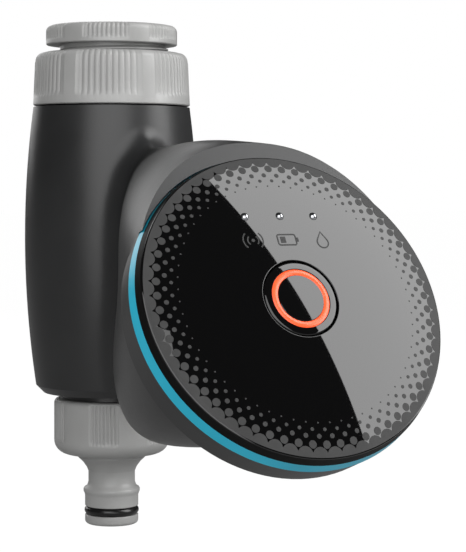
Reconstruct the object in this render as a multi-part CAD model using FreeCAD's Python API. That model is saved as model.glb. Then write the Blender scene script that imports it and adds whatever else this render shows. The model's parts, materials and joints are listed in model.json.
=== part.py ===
import FreeCAD, Part
import math
import os
from FreeCAD import Placement, Rotation, Vector

# Smart water timer: a tap-fed valve barrel with a tilted round control unit on its front.
# Z is up on the barrel's axis, the control unit faces -Y, and the origin is the tap adaptor's mouth.

# Threads, drawn as plain cylinders at their real radii
tap_thread_r = 13.22
tap_thread_len = 8.0
inlet_thread_r = 16.62
outlet_thread_r = 13.22
outlet_thread_len = 10.4
thread_fit = 0.08

# Tap adaptor and union nut
adaptor_r = 19.2
adaptor_grip_h = 5.7
adaptor_edge = 1.4
adaptor_rim_h = 1.2
adaptor_gap = 2.2
nut_top_r = 22.3
nut_r = 23.0
nut_h = 15.5
nut_lip_h = 3.0
nut_edge = 1.8
washer_h = 2.0
washer_bore_r = 9.5
filter_rim_h = 0.8
filter_r = 8.6
filter_depth = 15.0
grip_count = 6

# Barrel of the case
barrel_gap = 0.45
barrel_h = 83.7
barrel_top_r = 22.95
barrel_mid_r = 25.45
barrel_mid_lift = 7.25
barrel_base_r = 22.3
barrel_base_edge = 2.2
wall = 2.2
seam_y = 4.0
body_gap = 0.3

# Inlet neck and valve body
neck_r = 15.25
neck_bore_r = 10.0
neck_shoulder_h = 1.2
clip_h = 1.4
clip_depth = 1.1
clip_out = 1.05
neck_fit = 0.08
body_r = 13.0
flange_r = 18.5
flange_h = 3.0
outlet_collar_r = 14.4
outlet_collar_h = 1.7
outlet_bore_r = 7.5
valve_drop = 42.0
chamber_r = 13.5
chamber_depth = 7.0
seat_r = 6.5
seat_wall = 1.8
seat_y = -8.0
riser_r = 5.0
riser_y = 6.2
membrane_r = 14.6
membrane_h = 1.5
hub_r = 9.0
hub_h = 3.0
bonnet_h = 8.5
bonnet_cavity_r = 12.0
bonnet_cavity_h = 5.2
bonnet_screw_r = 1.3
bonnet_screw_count = 4

# Solenoid on the bonnet
core_tube_r = 4.6
core_tube_wall = 0.5
core_tube_len = 22.0
plunger_r = 4.0
plunger_len = 13.0
plunger_travel = 1.5
spring_wire = 0.8
valve_spring_r = 6.0
plunger_spring_r = 2.8
coil_r = 8.3
coil_len = 15.0
coil_start = 3.0
yoke_h = 1.6
yoke_w = 12.0
magnet_r = 6.0
magnet_h = 3.0

# Case screws
case_screw_r = 1.45
case_screw_head_r = 2.7
case_screw_len = 14.0
case_boss_r = 3.2
case_boss_x = 17.6
case_boss_inset = 11.5
screw_seat_y = 9.0

# Control unit: a disc that leans back by the tilt angle
disc_reach = 114.1
disc_drop = 50.7
disc_tilt = 27.7
face_r = 40.1
face_dome = 3.35
face_h = 2.2
face_edge = 0.5
bezel_flare = 0.6
bezel_h = 2.8
trim_flare = 0.3
trim_h = 3.35
trim_width = 3.0
rim_taper = 1.0
rim_h = 7.9
rim_wall = 2.0
disc_fit = 0.2

# Tub between the barrel and the disc: three rounded sections, widest at their own middle level
tub_root_y = 20.5
tub_root_w = 4.4
tub_root_drop = 47.0
tub_root_up = 34.0
tub_root_over = 1.3
tub_root_square = 3.0
tub_mid_y = 66.0
tub_mid_w = 26.2
tub_mid_drop = 50.2
tub_mid_up = 39.2
tub_mid_over = 6.0
tub_mid_square_up = 2.9
tub_mid_square_down = 5.2
tub_front_inset = 1.8
tub_front_rise = 3.0
tub_hood = 3.0
tub_front_square = 2.12
tub_front_back = 3.6
tub_fillet = 8.0
outline_points = 12
tub_wall = 2.6

# Button, lights and electronics
button_r = 9.8
button_fit = 0.25
button_lip_h = 0.8
button_lip = 1.1
button_travel = 0.8
stem_r = 2.5
ring_out_r = 7.7
ring_in_r = 6.15
ring_depth = 1.2
lens_r = 1.15
lens_count = 3
lens_spacing = 9.5
lens_rise = 22.5
lens_proud = 0.75
gasket_w = 1.3
frame_wall = 2.0
frame_floor = 1.4
board_gap = 2.85
board_h = 1.6
board_drop = 8.0
board_screw_count = 3
board_screw_r = 1.1
board_screw_inset = 4.0
frame_screw_inset = 2.25
frame_screw_angles = (-30, 90, 210)
chip_w = 2.0
chip_h = 0.9
switch_w = 6.2
switch_h = 3.4
switch_tip_r = 1.7
switch_tip_h = 1.4
radio_w = 18.0
radio_l = 12.0
radio_h = 2.6
radio_drop = 20.0
cable_window_w = 24.0
cable_window_l = 14.0
cable_window_lift = 4.0

# Battery drawer under the tub: two cells in front, one behind
cell_r = 7.1
cell_h = 49.2
cell_nub_r = 2.75
cell_nub_h = 1.2
cell_pitch = 14.8
cell_fit = 0.15
drawer_y = -74.6
drawer_wall = 1.2
drawer_cap_h = 4.2
drawer_fit = 0.3
drawer_window = 7.0
seal_h = 1.6
seal_depth = 0.7
channel_wall = 1.2
contact_spring_r = 3.5
contact_spring_h = 2.4
contact_plate_h = 0.6
grip_groove_r = 2.0
grip_groove_l = 16.0

# Hose connector
connector_r = 17.0
connector_edge = 1.4
connector_h = 12.2
connector_gap = 0.15
connector_washer_h = 1.9
connector_cone_h = 4.2
collar_r = 10.0
collar_h = 1.5
waist_r = 6.9
waist_slope_h = 3.9
waist_h = 3.7
bead_r = 8.35
bead_h = 1.2
bead_rise_h = 1.3
bead_slope_h = 1.2
nipple_r = 7.9
nipple_h = 3.0
oring_h = 2.5
oring_depth = 1.6
tip_h = 2.8
tip_edge = 0.9
nipple_bore_r = 5.2
connector_bore_r = 8.0

# Moulded grips: ribs stand on pads between plain lobes
adaptor_ribs = 9
adaptor_rib_depth = 0.5
adaptor_lobe = 18.0
adaptor_turn = 1.7
nut_ribs = 8
nut_rib_depth = 1.1
nut_lobe = 10.0
nut_turn = 4.9
nut_rim_h = 2.4
connector_ribs = 8
connector_rib_depth = 0.45
connector_lobe = 26.0
connector_turn = -1.0

# Levels down the barrel's axis
nut_top = -(adaptor_grip_h + adaptor_gap)
nut_base = nut_top - nut_h
nut_floor = nut_base + nut_lip_h
clip_base = nut_floor + neck_fit
neck_top = clip_base + clip_h + neck_shoulder_h
washer_base = neck_top + filter_rim_h
washer_top = washer_base + washer_h
male_end = washer_top + 0.05
barrel_mid_drop = barrel_h / 2 - barrel_mid_lift
barrel_top = nut_base - barrel_gap
barrel_base = barrel_top - barrel_h
valve_z = barrel_top - valve_drop
collar_base = barrel_base - outlet_collar_h
spigot_end = collar_base - outlet_thread_len
connector_top = collar_base - connector_gap
bonnet_y = seat_y - membrane_h
core_y = bonnet_y - bonnet_h
pilot_y = core_y + 1.4
plunger_front = pilot_y - 0.05 - plunger_len
plunger_spring_gap = plunger_travel + 1.6
tap_seat_r = tap_thread_r + 0.6
tap_seat_z = -(tap_thread_len + washer_h + 0.5)
coil_y = core_y - coil_start
yoke_base = valve_z - coil_r - 0.1 - yoke_h
bezel_r = face_r + bezel_flare
trim_r = bezel_r + trim_flare
rim_r = trim_r - rim_taper
frame_r = trim_r - trim_width - 0.15
board_r = frame_r - frame_wall - board_gap
board_screw_ring = board_r - board_screw_inset
frame_screw_ring = frame_r - frame_wall - frame_screw_inset
tub_front_w = rim_r - tub_front_inset
tub_front_up = rim_r + tub_hood
tub_root_down = barrel_h - tub_root_drop + tub_root_over
tub_mid_down = barrel_h - tub_mid_drop + tub_mid_over
bezel_top = -2 * face_edge
trim_top = -(face_edge + bezel_h)
rim_top = trim_top - trim_h
rim_base = rim_top - rim_h
dome_top = face_dome - face_edge
dome_r = (face_r ** 2 + face_dome ** 2) / (2 * face_dome)
board_top = -board_drop
frame_top = trim_top - 0.05
stem_base = board_top + switch_h + switch_tip_h
lip_top = dome_top - face_h - (button_r + button_lip) ** 2 / (2 * dome_r) - 0.03
button_base = lip_top - button_lip_h
flange_hole_r = frame_screw_ring - 2 * board_screw_r
flange_back = rim_base - rim_wall
cell_room = cell_r + cell_fit + drawer_wall
cell_back_y = drawer_y + cell_pitch * math.sqrt(0.75)
tub_base = barrel_top - tub_mid_drop - tub_mid_down
cell_base = tub_base + drawer_cap_h + contact_spring_h
channel_top = cell_base + cell_h + cell_nub_h + contact_plate_h + 0.1
seal_base = tub_base + drawer_cap_h + 0.4
nipple_z = (
    connector_top - connector_h - connector_cone_h - collar_h - waist_slope_h - waist_h
    - bead_rise_h - bead_h - bead_slope_h
)
waist_z = connector_top - connector_h - connector_cone_h - collar_h - waist_slope_h
oring_z = nipple_z - nipple_h - oring_h / 2
nipple_end = nipple_z - nipple_h - oring_h - tip_h

beyond = 2 * (disc_reach + face_r)

axis_x = Vector(1, 0, 0)
axis_y = Vector(0, 1, 0)
axis_z = Vector(0, 0, 1)
disc_centre = Vector(0, -disc_reach, barrel_top - disc_drop)
disc_frame = Placement(disc_centre, Rotation(axis_x, 90 - disc_tilt))


def save(name, shape):
    shape.exportStep(f"parts/{name}.step")


def upright(radius, low, high, x=0.0, y=0.0):
    return Part.makeCylinder(radius, high - low, Vector(x, y, low), axis_z)


def forward(radius, back, front, x=0.0, z=0.0):
    """A cylinder along Y, from back to front, where front is the smaller Y."""
    return Part.makeCylinder(radius, back - front, Vector(x, front, z), axis_y)


def tube(outer, inner, low, high, x=0.0, y=0.0):
    return upright(outer, low, high, x, y).cut(upright(inner, low - 1, high + 1, x, y))


def spun(profile):
    """A solid turned about Z from (radius, height) points."""
    points = [Vector(r, 0, z) for r, z in profile]
    wire = Part.makePolygon(points + [points[0]])
    return Part.Face(wire).revolve(Vector(0, 0, 0), axis_z, 360)


def on_disc(shape):
    placed = shape.copy()
    placed.Placement = disc_frame.multiply(placed.Placement)
    return placed


def oval(width, up, down, square_up, square_down, smooth):
    """A closed curve about the origin, squarer than an ellipse where square is over 2."""
    points = []
    for i in range(outline_points):
        angle = 2 * math.pi * i / outline_points
        c, s = math.cos(angle), math.sin(angle)
        power = 2 / (square_up if s >= 0 else square_down)
        x = math.copysign(abs(c) ** power, c) * width
        y = math.copysign(abs(s) ** power, s) * (up if s >= 0 else down)
        points.append(Vector(x, y, 0))
    if not smooth:
        return Part.makePolygon(points + [points[0]])
    curve = Part.BSplineCurve()
    curve.interpolate(points, PeriodicFlag=True)
    return Part.Wire([curve.toShape()])


def tub(inset, smooth=True):
    """The bridge from the barrel to the disc, drawn in by inset; its plain form suits the hollow."""
    root = oval(
        tub_root_w - inset / 2, tub_root_up - inset, tub_root_down - inset,
        tub_root_square, tub_root_square, smooth,
    )
    middle = oval(
        tub_mid_w - inset, tub_mid_up - inset, tub_mid_down - inset,
        tub_mid_square_up, tub_mid_square_down, smooth,
    )
    front = oval(
        tub_front_w - inset, tub_front_up - inset, tub_front_w - inset, tub_front_square, 2, smooth
    )
    upright_turn = Rotation(axis_x, 90)
    root.Placement = Placement(Vector(0, -tub_root_y, barrel_top - tub_root_drop), upright_turn)
    middle.Placement = Placement(Vector(0, -tub_mid_y, barrel_top - tub_mid_drop), upright_turn)
    front.Placement = disc_frame.multiply(Placement(Vector(0, tub_front_rise, -tub_front_back), Rotation()))
    return Part.makeLoft([root, middle, front], True, not smooth)


def barrel(inset):
    """The bulged barrel, an arc turned about Z over a bevelled foot; its hollow is two plain tapers."""
    top = Vector(barrel_top_r - inset, 0, barrel_top - inset)
    mid = Vector(barrel_mid_r - inset, 0, barrel_top - barrel_mid_drop)
    low = Vector(barrel_base_r - inset, 0, barrel_base + barrel_base_edge)
    foot = Vector(barrel_base_r - inset - barrel_base_edge, 0, barrel_base + inset)
    if inset:
        side = [Part.makeLine(top, mid), Part.makeLine(mid, low)]
    else:
        side = [Part.Arc(top, mid, low).toShape()]
    centre_top = Vector(0, 0, top.z)
    centre_foot = Vector(0, 0, foot.z)
    outline = [Part.makeLine(centre_top, top)] + side + [
        Part.makeLine(low, foot),
        Part.makeLine(foot, centre_foot),
        Part.makeLine(centre_foot, centre_top),
    ]
    return Part.Face(Part.Wire(outline)).revolve(Vector(0, 0, 0), axis_z, 360)


def ring_point(radius, degrees):
    angle = math.radians(degrees)
    return Vector(radius * math.cos(angle), radius * math.sin(angle), 0)


def grip(radius, depth, ribs, lobe, turn, low, high):
    """A band with plain lobes and, between them, pads of upright ribs."""
    step = 360 / grip_count
    pad = step - lobe
    rib = pad / ribs
    foot = radius - depth
    edges = []
    for i in range(grip_count):
        start = turn + i * step - pad / 2
        for j in range(ribs):
            a = start + j * rib
            crest = ring_point(radius, a + rib / 2)
            edges.append(Part.makeLine(ring_point(foot, a), crest))
            edges.append(Part.makeLine(crest, ring_point(foot, a + rib)))
        a = start + pad
        b = a + lobe
        rise = math.degrees(depth / radius)
        edges.append(Part.makeLine(ring_point(foot, a), ring_point(radius, a + rise)))
        lobe_points = [ring_point(radius, t) for t in (a + rise, (a + b) / 2, b - rise)]
        edges.append(Part.Arc(*lobe_points).toShape())
        edges.append(Part.makeLine(ring_point(radius, b - rise), ring_point(foot, b)))
    band = Part.Face(Part.Wire(edges)).extrude(Vector(0, 0, high - low))
    return band.translated(Vector(0, 0, low))


def tap_adaptor():
    low = -adaptor_grip_h
    rim_z = low + adaptor_rim_h
    body = spun([
        (0, 0), (adaptor_r - adaptor_edge, 0), (adaptor_r, -adaptor_edge), (adaptor_r, low), (0, low)
    ])
    band = grip(adaptor_r, adaptor_rib_depth, adaptor_ribs, adaptor_lobe, adaptor_turn, rim_z, 0)
    body = body.common(band.fuse(upright(adaptor_r, low, rim_z)))
    body = body.fuse(upright(inlet_thread_r, male_end, low))
    body = body.cut(upright(tap_thread_r, -tap_thread_len, 1))
    body = body.cut(upright(tap_seat_r, tap_seat_z, -tap_thread_len))
    return body.cut(upright(washer_bore_r, male_end - 1, 0))


def inlet_nut():
    rim_z = nut_base + nut_rim_h
    body = spun([
        (0, nut_top), (nut_top_r - nut_edge, nut_top), (nut_top_r, nut_top - nut_edge),
        (nut_r, rim_z), (nut_r, nut_base), (0, nut_base),
    ])
    band = grip(nut_r, nut_rib_depth, nut_ribs, nut_lobe, nut_turn, rim_z, nut_top)
    body = body.common(band.fuse(upright(nut_r, nut_base, rim_z)))
    body = body.cut(upright(inlet_thread_r + thread_fit, nut_floor, 0))
    return body.cut(upright(neck_r + neck_fit, nut_base - 1, nut_floor + 1))


def clip_ring():
    ring = tube(neck_r + clip_out, neck_r - clip_depth, clip_base, clip_base + clip_h)
    slot = Part.makeBox(4, 2 * neck_r, 2 * clip_h, Vector(-2, 0, clip_base - 0.5))
    return ring.cut(slot)


def inlet_filter():
    rim = tube(neck_r, filter_r - 0.5, neck_top, washer_base)
    foot = washer_base - filter_depth
    cup = spun([
        (filter_r - 0.5, washer_base), (filter_r, washer_base), (filter_r - 1, foot), (0, foot),
        (0, foot + 0.6), (filter_r - 1.6, foot + 0.6),
    ])
    return rim.fuse(cup)


def valve_body():
    top = barrel_top - wall
    foot = barrel_base + wall
    body = upright(neck_r, top - flange_h, neck_top)
    body = body.fuse([
        upright(flange_r, top - flange_h, top),
        upright(body_r, foot, top),
        upright(flange_r, foot, foot + flange_h),
        upright(outlet_collar_r, collar_base, foot),
        upright(outlet_thread_r, spigot_end, collar_base),
        forward(flange_r, 0, bonnet_y, z=valve_z),
    ])
    chamber = forward(chamber_r, seat_y + chamber_depth, bonnet_y - 1, z=valve_z)
    chamber = chamber.cut(forward(seat_r + seat_wall, 0, seat_y, z=valve_z))
    groove = tube(neck_r + 5, neck_r - clip_depth, clip_base, clip_base + clip_h)
    screws = [forward(bonnet_screw_r - 0.1, 0, bonnet_y - 1, x, z) for x, z in bonnet_screw_places()]
    return body.cut([
        chamber,
        groove,
        forward(flange_r + 0.5, bonnet_y, bonnet_y - body_r, z=valve_z),
        forward(membrane_r + 0.1, seat_y, bonnet_y - 1, z=valve_z),
        upright(neck_bore_r, valve_z + seat_r + seat_wall + 1, neck_top + 1),
        forward(seat_r, riser_y, bonnet_y - 1, z=valve_z),
        upright(riser_r, valve_z - chamber_r - 6, valve_z, 0, riser_y),
        upright(outlet_bore_r, spigot_end - 1, valve_z - chamber_r - 3),
    ] + screws)


def bonnet_screw_places():
    ring = (membrane_r + flange_r) / 2
    places = []
    for i in range(bonnet_screw_count):
        angle = math.radians(45 + 360 / bonnet_screw_count * i)
        places.append((ring * math.cos(angle), valve_z + ring * math.sin(angle)))
    return places


def bonnet():
    body = forward(flange_r, bonnet_y, bonnet_y - 3.5, z=valve_z)
    body = body.fuse(forward(bonnet_cavity_r + 2, bonnet_y, core_y, z=valve_z))
    return body.cut([
        forward(bonnet_cavity_r, bonnet_y + 1, bonnet_y - bonnet_cavity_h, z=valve_z),
        forward(core_tube_r, pilot_y, core_y - 1, z=valve_z),
        forward(1.0, bonnet_y, pilot_y - 1, z=valve_z),
    ] + [forward(bonnet_screw_r + 0.1, 0, core_y - 1, x, z) for x, z in bonnet_screw_places()])


def bonnet_screws():
    top = bonnet_y - 3.5
    solids = []
    for x, z in bonnet_screw_places():
        shaft = forward(bonnet_screw_r - 0.15, bonnet_y + 6, top, x, z)
        solids.append(shaft.fuse(forward(bonnet_screw_r + 0.5, top, top - 1.4, x, z)))
    return Part.makeCompound(solids)


def diaphragm():
    outer = forward(membrane_r, seat_y, bonnet_y, z=valve_z)
    return outer.cut(forward(hub_r + 0.1, 0, bonnet_y - 1, z=valve_z))


def hub():
    back = seat_y - 0.02
    body = forward(hub_r, back, back - hub_h, z=valve_z)
    return body.cut(forward(1.0, back + 1, back - hub_h - 1, z=valve_z))


def spring(radius, back, front):
    """A compression spring on the valve's Y axis, drawn as the sleeve that its turns fill."""
    half = spring_wire / 2
    return forward(radius + half, back, front, z=valve_z).cut(forward(radius - half, 0, front - 1, z=valve_z))


def plunger():
    body = forward(plunger_r, pilot_y - 0.05, plunger_front, z=valve_z)
    return body.cut(forward(1.6, plunger_front + 2, plunger_front - 1, z=valve_z))


def core_tube():
    end = core_y - core_tube_len
    body = forward(core_tube_r - 0.02, pilot_y - 0.1, end, z=valve_z)
    return body.cut(forward(core_tube_r - core_tube_wall, pilot_y + 1, end + core_tube_wall, z=valve_z))


def fixed_core():
    back = plunger_front - plunger_spring_gap
    front = core_y - core_tube_len + core_tube_wall
    return forward(plunger_r, back, front + 0.02, z=valve_z)


def solenoid_coil():
    body = forward(coil_r, coil_y, coil_y - coil_len, z=valve_z)
    return body.cut(forward(core_tube_r + 0.1, 0, coil_y - coil_len - 1, z=valve_z))


def coil_yoke():
    half = yoke_w / 2
    depth = coil_len + 2 * yoke_h + 0.2
    back = coil_y + yoke_h + 0.1
    block = Part.makeBox(yoke_w, depth, valve_z + half - yoke_base, Vector(-half, back - depth, yoke_base))
    gap_corner = Vector(-yoke_w, back - yoke_h - coil_len - 0.2, yoke_base + yoke_h)
    gap = Part.makeBox(2 * yoke_w, coil_len + 0.2, coil_r * 3, gap_corner)
    return block.cut([gap, forward(core_tube_r + 0.1, 0, back - depth - 1, z=valve_z)])


def latch_magnet():
    back = core_y - core_tube_len - 0.05
    return forward(magnet_r, back, back - magnet_h, z=valve_z)


def disc(radius, low, high):
    """A cylinder on the disc's own axis, in the disc's frame."""
    return Part.makeCylinder(radius, high - low, Vector(0, 0, low), axis_z)


def disc_tube(outer, inner, low, high):
    return disc(outer, low, high).cut(disc(inner, low - 1, high + 1))


def dome(drop=0.0):
    """The ball that the domed face is cut from, lowered by drop."""
    return Part.makeSphere(dome_r, Vector(0, 0, dome_top - dome_r - drop))


def dome_height(radius):
    return dome_top - radius ** 2 / (2 * dome_r)


def drawer_block(margin, low, high):
    """The drawer's T-shaped footprint, grown by margin, between two heights."""
    room = cell_room + margin
    half = cell_pitch / 2 + room
    height = high - low
    front = Part.makeBox(2 * half, 2 * room, height, Vector(-half, drawer_y - room, low))
    length = cell_back_y - drawer_y + room
    return front.fuse(Part.makeBox(2 * room, length, height, Vector(-room, drawer_y, low))).removeSplitter()


def case_boss_places():
    low = barrel_base + case_boss_inset
    high = barrel_top - case_boss_inset
    return [(x, z) for x in (-case_boss_x, case_boss_x) for z in (low, high)]


def case_outer():
    """Barrel and tub in one, with a soft fillet where they meet, and the round rim."""
    joined = barrel(0).fuse(tub(0)).removeSplitter()
    meeting = []
    for edge in joined.Edges:
        span = (edge.FirstParameter, (edge.FirstParameter + edge.LastParameter) / 2, edge.LastParameter)
        points = [edge.valueAt(t) for t in span]
        near = all(abs(math.hypot(p.x, p.y) - barrel_mid_r + 1.5) < 2.5 and p.y < -8 for p in points)
        if near and edge.Length > 1:
            meeting.append(edge)
    joined = joined.makeFillet(tub_fillet, meeting)
    rim = Part.makeCone(rim_r, trim_r, rim_h, Vector(0, 0, rim_base), axis_z)
    return joined.fuse(on_disc(rim))


def case_cavity():
    behind = disc(beyond, flange_back - beyond, flange_back - 0.01)
    hollow = tub(tub_wall, False).common(on_disc(behind))
    magnet_front = core_y - core_tube_len - magnet_h
    room_corner = Vector(-yoke_w / 2 - 0.5, magnet_front - 1, yoke_base - 0.5)
    yoke_room = Part.makeBox(yoke_w + 1, 2 * coil_len, 2 * coil_r + yoke_h, room_corner)
    return barrel(wall).fuse([
        hollow,
        forward(coil_r + body_gap, core_y, magnet_front - 1, z=valve_z),
        yoke_room,
        on_disc(disc(flange_hole_r, flange_back - 1, rim_base + wall + 1)),
        on_disc(disc(trim_r - trim_width, rim_base + wall, dome_top + 5)),
    ])


def case_shells():
    outer = case_outer()
    recess = on_disc(disc(trim_r + disc_fit, rim_top, dome_top + 20))
    shell = outer.cut([case_cavity(), recess])
    channel = drawer_block(drawer_fit + channel_wall, tub_base - 4, channel_top + channel_wall)
    shell = shell.fuse(channel.common(tub(0.5)))
    shell = shell.cut([
        drawer_block(drawer_fit, tub_base - 5, channel_top),
        upright(neck_r + body_gap, barrel_top - wall - 1, barrel_top + 1),
        upright(outlet_collar_r + body_gap, barrel_base - 1, barrel_base + wall + 1),
    ])
    front_half = Part.makeBox(2 * beyond, beyond, 2 * beyond, Vector(-beyond, seam_y - beyond, -1.5 * beyond))
    front = shell.common(front_half)
    rear = shell.cut(front_half)
    reach = barrel_mid_r + 5
    front_bosses = []
    rear_bosses = []
    bores = []
    seats = []
    for x, z in case_boss_places():
        front_bosses.append(forward(case_boss_r, seam_y, seam_y - case_screw_len, x, z))
        rear_bosses.append(forward(case_boss_r, reach, seam_y, x, z))
        bores.append(forward(case_screw_r + 0.05, reach, seam_y - case_screw_len + 3, x, z))
        seats.append(forward(case_screw_head_r + 0.15, reach, screw_seat_y, x, z))
    skin = barrel(0.8)
    front = front.fuse([boss.common(skin) for boss in front_bosses]).cut(bores)
    rear = rear.fuse([boss.common(skin) for boss in rear_bosses]).cut(bores + seats)
    places = [(math.radians(a), frame_screw_ring) for a in frame_screw_angles]
    pilots = [
        on_disc(disc(board_screw_r, rim_base + wall - 5, rim_base + wall + 1).translated(
            Vector(r * math.cos(a), r * math.sin(a), 0)))
        for a, r in places
    ]
    return front.cut(pilots), rear


def case_screws():
    solids = []
    for x, z in case_boss_places():
        shaft = forward(case_screw_r, screw_seat_y, seam_y - case_screw_len + 4, x, z)
        head = forward(case_screw_head_r, screw_seat_y + 1.8, screw_seat_y, x, z)
        slot = Part.makeBox(0.8, 1, 4, Vector(x - 0.4, screw_seat_y + 1, z - 2))
        solids.append(shaft.fuse(head).cut(slot))
    return Part.makeCompound(solids)


def cell_places():
    return [(-cell_pitch / 2, drawer_y), (cell_pitch / 2, drawer_y), (0, cell_back_y)]


def battery_drawer():
    """Tray for the upright cells, whose base follows the tub's underside."""
    cap_top = tub_base + drawer_cap_h
    base = drawer_block(0, tub_base - 4, cap_top).common(tub(0.02))
    walls = drawer_block(-0.05, cap_top - 1, cell_base + cell_h)
    bores = [upright(cell_r + cell_fit, cap_top, cell_base + cell_h + 1, x, y) for x, y in cell_places()]
    gutter = drawer_block(1, seal_base, seal_base + seal_h)
    gutter = gutter.cut(drawer_block(-seal_depth, seal_base - 1, seal_base + seal_h + 1))
    window = Part.makeBox(
        3 * cell_pitch, drawer_window, cell_h / 2,
        Vector(-1.5 * cell_pitch, drawer_y - drawer_window / 2, cap_top + cell_h / 4)
    )
    groove = Part.makeCylinder(
        grip_groove_r, grip_groove_l, Vector(-grip_groove_l / 2, drawer_y - cell_r / 2, tub_base), axis_x
    )
    return base.fuse(walls).cut(bores + [window, gutter, groove])


def drawer_seal():
    outer = drawer_block(drawer_fit / 2, seal_base + 0.05, seal_base + seal_h - 0.05)
    return outer.cut(drawer_block(-seal_depth + 0.03, seal_base - 1, seal_base + seal_h + 1))


def battery_cell(x, y):
    top = cell_base + cell_h
    nub = upright(cell_nub_r, top - 0.6, top + cell_nub_h - 0.05, x, y)
    return upright(cell_r, cell_base, top - 0.5, x, y).fuse(nub)


def contact_springs():
    low = cell_base - contact_spring_h
    inner = contact_spring_r - spring_wire
    return Part.makeCompound([tube(contact_spring_r, inner, low, cell_base, x, y) for x, y in cell_places()])


def contact_plate():
    return drawer_block(-drawer_wall, channel_top - contact_plate_h, channel_top)


def trim_ring():
    cone = Part.makeCone(trim_r, bezel_r, trim_h, Vector(0, 0, rim_top), axis_z)
    return on_disc(cone.cut(disc(trim_r - trim_width, rim_top - 1, trim_top + 1)))


def bezel_ring():
    height = bezel_top - trim_top
    cone = Part.makeCone(bezel_r, face_r + 0.1, height, Vector(0, 0, trim_top), axis_z)
    return on_disc(cone.cut(disc(trim_r - trim_width - 1, trim_top - 1, bezel_top + 1)))


def lens_places():
    middle = (lens_count - 1) / 2
    return [Vector((i - middle) * lens_spacing, lens_rise, 0) for i in range(lens_count)]


def face_panel():
    panel = disc(face_r, bezel_top, dome_top + 1).common(dome())
    pocket = disc(face_r - 5, bezel_top - 1, dome_top).common(dome(face_h))
    holes = [disc(button_r + button_fit, -20, 20)]
    holes += [disc(lens_r + 0.05, -20, 20).translated(place) for place in lens_places()]
    return on_disc(panel.cut([pocket] + holes))


def face_gasket():
    outer = trim_r - trim_width - 1.1
    return on_disc(disc_tube(outer, outer - gasket_w, frame_top + 0.02, bezel_top - 0.02))


def control_frame():
    """Cup behind the face that carries the board and seats on the case's front flange."""
    low = rim_base + wall + 0.02
    cup = disc(frame_r, low, frame_top).cut(disc(frame_r - frame_wall, low + frame_floor, frame_top + 1))
    posts = [disc(3, low, board_top - board_h).translated(p) for p in board_screw_places()]
    window_y = cable_window_l / 2 + cable_window_lift - radio_drop
    window = block(cable_window_w, cable_window_l, 2 * frame_floor + 1, 0, window_y, low - 1)
    holes = [disc(board_screw_r, low - 1, frame_top).translated(p) for p in board_screw_places()]
    holes += [disc(board_screw_r + 0.1, low - 1, 0).translated(p) for p in frame_screw_places()]
    return on_disc(cup.fuse(posts).cut([window] + holes))


def board_screw_places():
    turns = [math.radians(-90 + 360 / board_screw_count * i) for i in range(board_screw_count)]
    return [Vector(board_screw_ring * math.cos(a), board_screw_ring * math.sin(a), 0) for a in turns]


def frame_screw_places():
    turns = [math.radians(a) for a in frame_screw_angles]
    return [Vector(frame_screw_ring * math.cos(a), frame_screw_ring * math.sin(a), 0) for a in turns]


def screws(places, seat, length):
    """A group of equal screws on the disc's axis with their heads on seat."""
    solids = []
    for place in places:
        shaft = disc(board_screw_r - 0.1, seat - length, seat)
        solids.append(on_disc(shaft.fuse(disc(board_screw_r + 0.8, seat, seat + 1.1)).translated(place)))
    return Part.makeCompound(solids)


def control_board():
    board = disc(board_r, board_top - board_h, board_top)
    holes = [disc(board_screw_r, board_top - 5, 0).translated(p) for p in board_screw_places()]
    return on_disc(board.cut(holes))


def block(width, length, height, x, y, low):
    return Part.makeBox(width, length, height, Vector(x - width / 2, y - length / 2, low))


def light_chips():
    ring = (ring_out_r + ring_in_r) / 2
    places = lens_places() + [Vector(-ring, 0, 0), Vector(ring, 0, 0)]
    return Part.makeCompound([on_disc(block(chip_w, chip_w, chip_h, p.x, p.y, board_top)) for p in places])


def status_lens(place):
    top = dome_height(place.Length) + lens_proud
    pipe = disc(lens_r, board_top + chip_h + 0.05, top - lens_r)
    tip = Part.makeSphere(lens_r, Vector(0, 0, top - lens_r))
    return on_disc(pipe.fuse(tip).translated(place))


def radio_module():
    base = block(radio_w, radio_l, 0.8, 0, -radio_drop, board_top)
    can = block(radio_w - 6, radio_l - 2, radio_h - 0.8, -2, -radio_drop, board_top + 0.8)
    return on_disc(base.fuse(can))


def tact_switch():
    body = block(switch_w, switch_w, switch_h, 0, 0, board_top)
    return on_disc(body.cut(disc(switch_tip_r + 0.1, board_top + 0.6, 0)))


def switch_plunger():
    low = board_top + 0.6 + button_travel + 0.1
    return on_disc(disc(switch_tip_r, low, stem_base - 0.02))


def button_cap():
    cap = disc(button_r, button_base, dome_top + 1).common(dome())
    lip = disc(button_r + button_lip, button_base, lip_top)
    stem = disc(stem_r, stem_base, button_base + 0.1)
    groove = disc_tube(ring_out_r, ring_in_r, dome_top - ring_depth, dome_top + 1)
    return on_disc(cap.fuse([lip, stem]).cut(groove))


def button_ring():
    ring = disc_tube(ring_out_r - 0.02, ring_in_r + 0.02, dome_top - ring_depth + 0.02, dome_top + 1)
    return on_disc(ring.common(dome()))


def button_spring():
    inner = switch_w * 0.5 ** 0.5 + 0.5
    return on_disc(disc_tube(inner + spring_wire, inner, board_top + 0.02, button_base - 0.02))


def falling(level, steps):
    """Profile points from (radius, drop) pairs, each drop measured from the point before."""
    profile = [(0, level)]
    for radius, drop in steps:
        level -= drop
        profile.append((radius, level))
    return profile


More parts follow.
